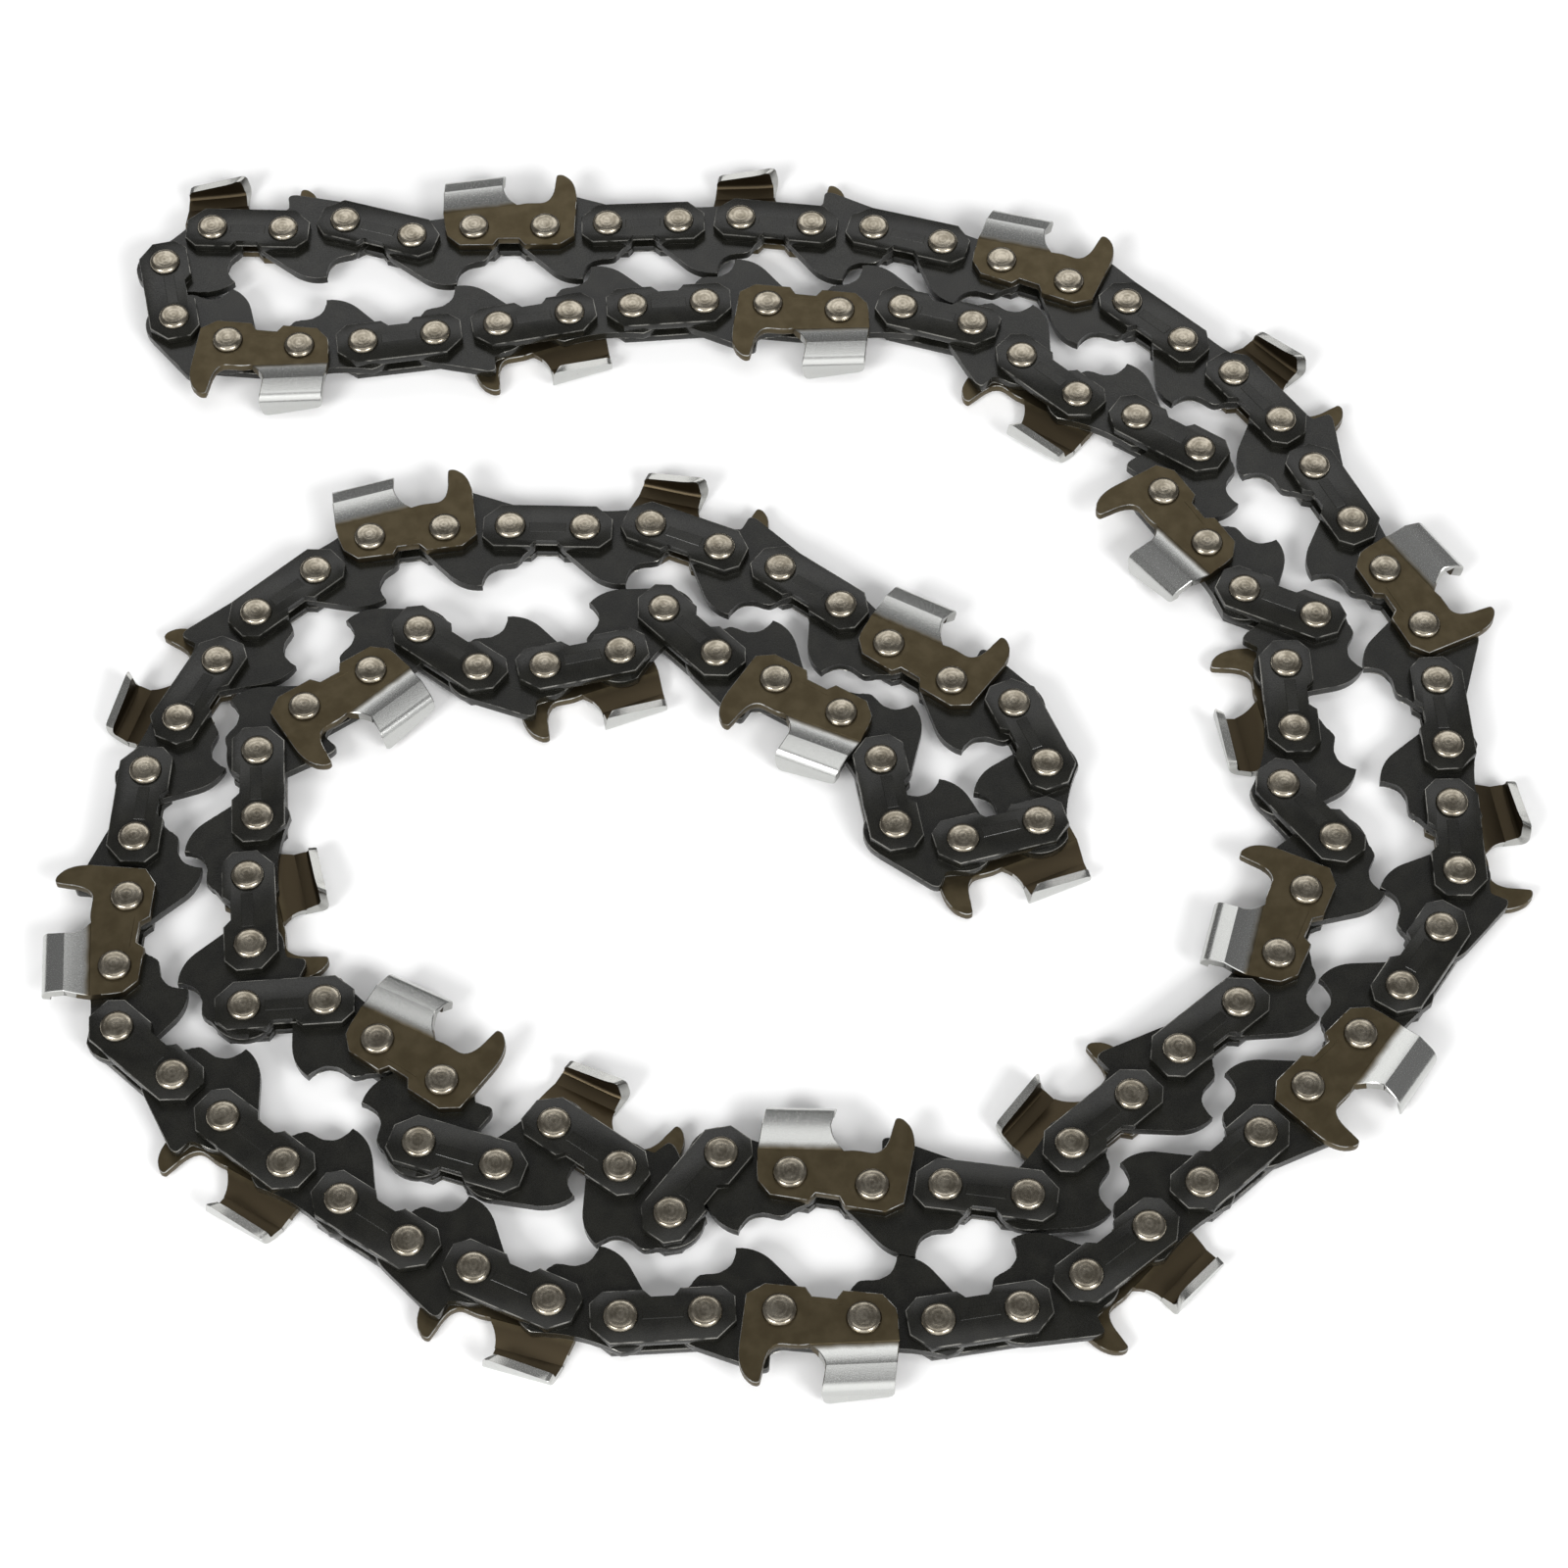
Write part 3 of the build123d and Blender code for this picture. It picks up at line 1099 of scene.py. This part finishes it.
@dataclass(frozen=True)
class BlackSteel:
    """Satin black plates with worn bright edges."""

    dark: Colour = (0.0050, 0.0050, 0.0037)
    light: Colour = (0.0098, 0.0097, 0.0073)
    worn: Colour = (0.25, 0.245, 0.225)
    roughness: Point = (0.22, 0.34)
    gloss: float = 0.4
    cloud: Spots = Spots(0.35, 4.0, (0.3, 0.7))
    grain: Spots = Spots(7.0, 3.0, (0.25, 0.75))
    wear: Spots = Spots(0.5, 2.0, (0.36, 0.62))
    worn_metal: float = 0.9
    bump_depth: float = 0.000012
    bump_strength: float = 0.5

    def make(self) -> Material:
        """Builds the material."""
        sheet = NodeSheet("black_steel")
        grain = sheet.noise(self.grain)
        coat = sheet.mix(sheet.cover(self.cloud), self.dark, self.light)
        rubbed = sheet.rubbed(self.wear)
        surface = {
            "Base Color": sheet.mix(rubbed, coat, self.worn),
            "Metallic": sheet.maths("MULTIPLY", rubbed, self.worn_metal),
            "Roughness": sheet.step(grain, self.grain.span, self.roughness),
            "Specular IOR Level": self.gloss,
            "Normal": sheet.bump(grain, self.bump_depth, self.bump_strength),
        }
        return sheet.finished(surface)


@dataclass(frozen=True)
class PlatedCutter:
    """Bronze-brown plate that turns into bright plating on the bowed wall and the top."""

    brown_dark: Colour = (0.086, 0.068, 0.039)
    brown_light: Colour = (0.113, 0.091, 0.054)
    inner: Colour = (0.072, 0.056, 0.034)
    plating: Colour = (0.52, 0.525, 0.51)
    ground: Colour = (0.46, 0.46, 0.44)
    seam: float = 4.05
    seam_width: float = 1.1
    seam_spots: Spots = Spots(0.5, 2.0)
    seam_unevenness: float = 0.5
    cloud: Spots = Spots(0.45, 4.0, (0.3, 0.72))
    grain: Spots = Spots(9.0, 3.0)
    lines: Spots = Spots(5.0, 2.0, stretch=(0.12, 2.0, 2.0))
    wear: Spots = Spots(0.8, 3.0, (0.34, 0.6))
    roughness: Point = (0.43, 0.24)
    grain_roughness: Point = (-0.04, 0.05)
    bump_depth: float = 0.000006
    bump_strength: float = 0.5

    def plated_share(self, sheet: NodeSheet) -> Socket:
        """How far the plating covers the brown, from the link's own height above the sloping seam.

        Args:
            sheet: The material's nodes.

        Returns:
            The share from 0 to 1.
        """
        local = sheet.add("ShaderNodeSeparateXYZ", {0: sheet.local()}).outputs
        ahead = sheet.maths("SUBTRACT", local["X"], Cutter.front)
        rise = sheet.maths("MULTIPLY", ahead, Cutter.fall / Cutter.length)
        height = sheet.maths("SUBTRACT", local["Y"], rise)
        uneven = sheet.maths("MULTIPLY", sheet.noise(self.seam_spots), self.seam_unevenness)
        return sheet.step(sheet.maths("ADD", height, uneven), (self.seam, self.seam + self.seam_width))

    def make(self) -> Material:
        """Builds the material."""
        sheet = NodeSheet("plated_cutter")
        grain = sheet.noise(self.grain)
        above = self.plated_share(sheet)
        brown = sheet.mix(sheet.cover(self.cloud), self.brown_dark, self.brown_light)
        inside = sheet.maths("MULTIPLY", above, sheet.in_zone(Zone.INNER))
        share = sheet.maths("MULTIPLY", above, sheet.in_zone(Zone.PLATED))
        plated = sheet.mix(share, sheet.mix(inside, brown, self.inner), self.plating)
        bright = sheet.maths("MAXIMUM", sheet.in_zone(Zone.GROUND), sheet.rubbed(self.wear))
        clean = sheet.step(sheet.maths("MAXIMUM", share, bright), (0, 1), self.roughness)
        grainy = sheet.step(grain, self.grain.span, self.grain_roughness)
        height = sheet.maths("ADD", grain, sheet.noise(self.lines))
        surface = {
            "Base Color": sheet.mix(bright, plated, self.ground),
            "Metallic": 1.0,
            "Roughness": sheet.maths("ADD", clean, grainy),
            "Normal": sheet.bump(height, self.bump_depth, self.bump_strength),
        }
        return sheet.finished(surface)


@dataclass(frozen=True)
class RivetSteel:
    """Warm spun steel with stains and fine rings."""

    dark: Colour = (0.215, 0.19, 0.147)
    light: Colour = (0.43, 0.39, 0.318)
    ring_scale: float = 0.55
    ring_unevenness: float = 2.6
    ring_stain: float = 0.1
    ring_height: float = 0.45
    cloud: Spots = Spots(0.8, 4.0, (0.36, 0.78))
    grain: Spots = Spots(6.0, 3.0)
    roughness: Point = (0.18, 0.27)
    bump_depth: float = 0.000014
    bump_strength: float = 0.6

    def make(self) -> Material:
        """Builds the material."""
        sheet = NodeSheet("rivet_steel")
        grain = sheet.noise(self.grain)
        spinning = {"Vector": sheet.local(), "Scale": self.ring_scale, "Distortion": self.ring_unevenness}
        rings = sheet.add("ShaderNodeTexWave", spinning, wave_type="RINGS", rings_direction="Z").outputs[1]
        stain = sheet.maths("ADD", sheet.maths("MULTIPLY", rings, self.ring_stain), sheet.noise(self.cloud))
        height = sheet.maths("ADD", sheet.maths("MULTIPLY", rings, self.ring_height), grain)
        surface = {
            "Base Color": sheet.mix(sheet.step(stain, self.cloud.span), self.dark, self.light),
            "Metallic": 1.0,
            "Roughness": sheet.step(grain, self.grain.span, self.roughness),
            "Normal": sheet.bump(height, self.bump_depth, self.bump_strength),
        }
        return sheet.finished(surface)


class Finishes:
    """The materials by the record's slots."""

    def __init__(self) -> None:
        """Builds each material once."""
        self.black = BlackSteel().make()
        self.plated = PlatedCutter().make()
        self.rivet = RivetSteel().make()

    def of(self, kind: LinkKind) -> tuple[Material, str]:
        """The material of a kind of piece and its slot in the record."""
        if kind is LinkKind.RIVET:
            return self.rivet, "rivet_steel"
        if kind in (LinkKind.RIGHT_CUTTER, LinkKind.LEFT_CUTTER):
            return self.plated, "plated_cutter"
        return self.black, "black_steel"


@dataclass(frozen=True)
class Lamp:
    """A soft rectangular light that faces the chain.

    Attributes:
        name: Its name.
        place: Its middle in metres.
        size: Width and height in metres.
        radiance: How bright its face is, in watts per square metre and steradian.
    """

    name: str
    place: Position
    size: Point
    radiance: float


LAMPS = (
    Lamp("behind", (0.0, 0.96, 0.9), (1.4, 0.5), 1.5),
    Lamp("overhead", (0.0, -0.15, 1.3), (1.2, 0.5), 1.25),
    Lamp("front_left", (-0.75, -0.95, 0.9), (0.55, 0.42), 15.0),
    Lamp("front_right", (0.75, -0.95, 0.9), (0.55, 0.42), 15.0),
)


@dataclass
class Studio:
    """Floor, soft light and the camera of the photograph."""

    target: Position = (-0.7103, -10.7586, 5.3)
    distance: float = 506.02
    elevation: float = 57.914
    roll: float = -1.222
    lens: float = 89.68
    sensor: float = 36.0
    nearest: float = 0.01
    floor_size: float = 6.0
    floor_colour: Colour = (0.96, 0.96, 0.96)
    floor_roughness: float = 0.9
    room_turn: Point = (-0.25, -0.85)
    room_levels: Point = (0.2, 1.5)

    def add_camera(self) -> None:
        """Sets the camera at the photograph's view."""
        data = bpy.data.cameras.new("view")
        data.sensor_width = self.sensor
        data.sensor_height = self.sensor
        data.lens = self.lens
        data.clip_start = self.nearest
        camera = bpy.data.objects.new("view", data)
        show(camera)
        tilt = math.radians(self.elevation)
        target = Vector(self.target) * MM
        away = Vector((0, -math.cos(tilt), math.sin(tilt))) * self.distance * MM
        upright = Matrix.Rotation(math.pi / 2 - tilt, 4, "X")
        spin = Matrix.Rotation(math.radians(self.roll), 4, "Z")
        camera.matrix_world = Matrix.Translation(target + away) @ upright @ spin
        bpy.context.scene.camera = camera

    def add_floor(self) -> None:
        """Lays a plain pale floor."""
        half = self.floor_size / 2
        corners = ((-half, -half, 0), (half, -half, 0), (half, half, 0), (-half, half, 0))
        mesh = bpy.data.meshes.new("floor")
        mesh.from_pydata(corners, [], [range(len(corners))])
        floor = bpy.data.objects.new("floor", mesh)
        surface = {
            "Base Color": (*self.floor_colour, 1),
            "Roughness": self.floor_roughness,
            "Specular IOR Level": 0.0,
        }
        mesh.materials.append(NodeSheet("pale_floor").finished(surface))
        show(floor)

    def add_lamp(self, lamp: Lamp) -> None:
        """Hangs one lamp and turns it to the chain."""
        data = bpy.data.lights.new(lamp.name, "AREA")
        data.shape = "RECTANGLE"
        data.size, data.size_y = lamp.size
        data.energy = lamp.radiance * math.pi * lamp.size[0] * lamp.size[1]
        light = bpy.data.objects.new(lamp.name, data)
        show(light)
        facing = (Vector(self.target) * MM - Vector(lamp.place)).to_track_quat("-Z", "Y")
        light.matrix_world = Matrix.Translation(lamp.place) @ facing.to_matrix().to_4x4()

    def add_room(self) -> None:
        """Sets the room round the chain, dim behind it and bright on the camera's side."""
        world = bpy.data.worlds.new("room")
        world.use_nodes = True
        bench = NodeBench(world.node_tree)
        direction = bench.add("ShaderNodeTexCoord").outputs["Generated"]
        split = bench.add("ShaderNodeSeparateXYZ", {0: direction})
        level = bench.step(split.outputs["Y"], self.room_turn, self.room_levels)
        bench.feed(world.node_tree.nodes["Background"], {"Color": (1, 1, 1, 1), "Strength": level})
        bpy.context.scene.world = world

    def build(self) -> None:
        """Sets up the whole studio."""
        self.add_camera()
        self.add_floor()
        self.add_room()
        for lamp in LAMPS:
            self.add_lamp(lamp)
        bpy.context.scene.view_settings.view_transform = "Standard"


def dress_chain() -> int:
    """Makes the finished pieces of every node.

    Returns:
        The number of finished objects.
    """
    shop = MasterShop()
    masters = shop.make_all()
    finishes = Finishes()
    tree = ChainTree()
    groups = ChainLay().groups()
    for seed, (node, (kind, places)) in enumerate(sorted(groups.items())):
        material, slot = finishes.of(kind)
        piece = tree.lay(f"{node}_finished", places, masters[kind], material, seed)
        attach(piece, frame["nodes"][node]["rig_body"])
        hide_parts(node)
        log.info("%s: %d pieces, %d faces", piece.name, len(places), len(piece.data.polygons))
    shop.clear()
    return len(groups)


def main() -> None:
    """Dresses the chain and sets up the studio."""
    logging.basicConfig(level=logging.INFO, format="%(name)s %(message)s")
    count = dress_chain()
    Studio().build()
    log.info("%d finished objects", count)


if __name__ == "__main__":
    main()
